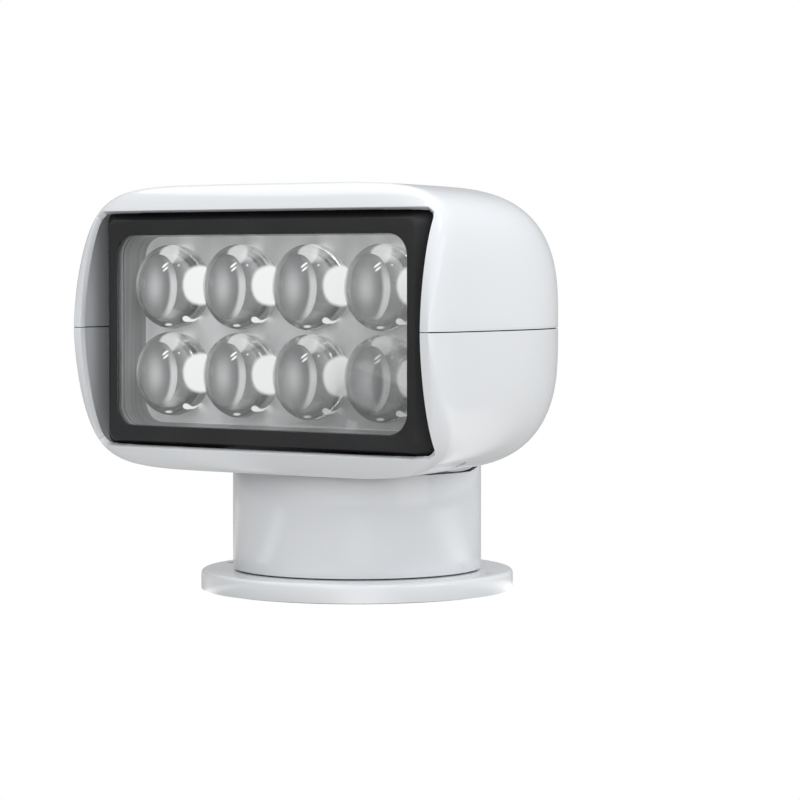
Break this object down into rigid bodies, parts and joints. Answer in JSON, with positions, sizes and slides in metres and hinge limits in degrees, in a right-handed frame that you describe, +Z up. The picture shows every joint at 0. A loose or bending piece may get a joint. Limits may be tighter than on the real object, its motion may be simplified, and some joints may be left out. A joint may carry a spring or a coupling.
{
  "type": "marine searchlight",
  "caption": "White remote-controlled boat searchlight with a rounded box head that tilts on a turning round neck above a flat mounting flange.",
  "frame": {"origin": "Centre of the flat underside of the mounting flange, on the pan axis.", "axes": "+Z is up along the pan axis. The lamp faces -Y at rest and +X is to its left-hand side, the right of someone who looks at the window."},
  "size_m": [0.2094, 0.1595, 0.189],
  "materials": {
    "white": "gloss",
    "black": "satin",
    "rubber": "matte",
    "clear": "gloss",
    "silvered": "satin",
    "steel": "satin",
    "alloy": "satin",
    "nylon": "satin",
    "bronze": "satin",
    "circuit": "satin"
  },
  "bodies": {
    "base": {"base_flange": "white", "base_gasket": "rubber", "cable_gland": "black", "lock_screw_1": "steel", "lock_screw_2": "steel", "hub_post": "alloy", "post_clip": "steel", "pan_ring_gear": "nylon", "thrust_washer": "bronze"},
    "neck": {"neck_housing": "white", "neck_deck": "black", "neck_seal": "rubber", "pan_bush": "bronze", "pan_motor": "steel", "yoke_arm_left": "alloy", "yoke_arm_right": "alloy", "trunnion_pin_left": "steel", "trunnion_pin_right": "steel", "tilt_sector_gear": "nylon"},
    "pan_drive": {"pan_pinion": "bronze"},
    "head": {"upper_shell": "white", "lower_shell": "white", "seam_gasket": "rubber", "bezel": "black", "front_glass": "clear", "glass_seal": "rubber", "reflector_tray": "silvered", "lens_1": "clear", "lens_2": "clear", "lens_3": "clear", "lens_4": "clear", "lens_5": "clear", "lens_6": "clear", "lens_7": "clear", "lens_8": "clear", "led_board": "circuit", "heat_sink": "alloy", "chassis": "alloy", "trunnion_bush_left": "bronze", "trunnion_bush_right": "bronze", "tilt_motor": "steel", "motor_strap": "steel", "driver_board": "circuit", "receiver_board": "circuit", "aerial": "steel", "shell_screw_1": "steel", "shell_screw_2": "steel", "shell_screw_3": "steel", "shell_screw_4": "steel"},
    "tilt_drive": {"tilt_pinion": "bronze"}
  },
  "joints": [
    {"name": "pan", "type": "hinge", "parent": "base", "child": "neck", "pos_m": [0, 0, 0.05], "axis": [0, 0, 1], "range_deg": [-180, 180]},
    {"name": "pan_pinion_spin", "type": "hinge", "parent": "neck", "child": "pan_drive", "pos_m": [0, 0.036, 0.0166], "axis": [0, 0, 1], "range_deg": [-901, 901]},
    {"name": "tilt", "type": "hinge", "parent": "neck", "child": "head", "pos_m": [0, 0, 0.12325], "axis": [-1, 0, 0], "range_deg": [-5, 45]},
    {"name": "tilt_pinion_spin", "type": "hinge", "parent": "head", "child": "tilt_drive", "pos_m": [0.0392, 0.014, 0.1475], "axis": [-1, 0, 0], "range_deg": [-18.5, 165.2]}
  ],
  "couplings": [
    {"joint": "pan_pinion_spin", "follows": "pan", "ratio": 5},
    {"joint": "tilt_pinion_spin", "follows": "tilt", "ratio": 3.6667}
  ]
}
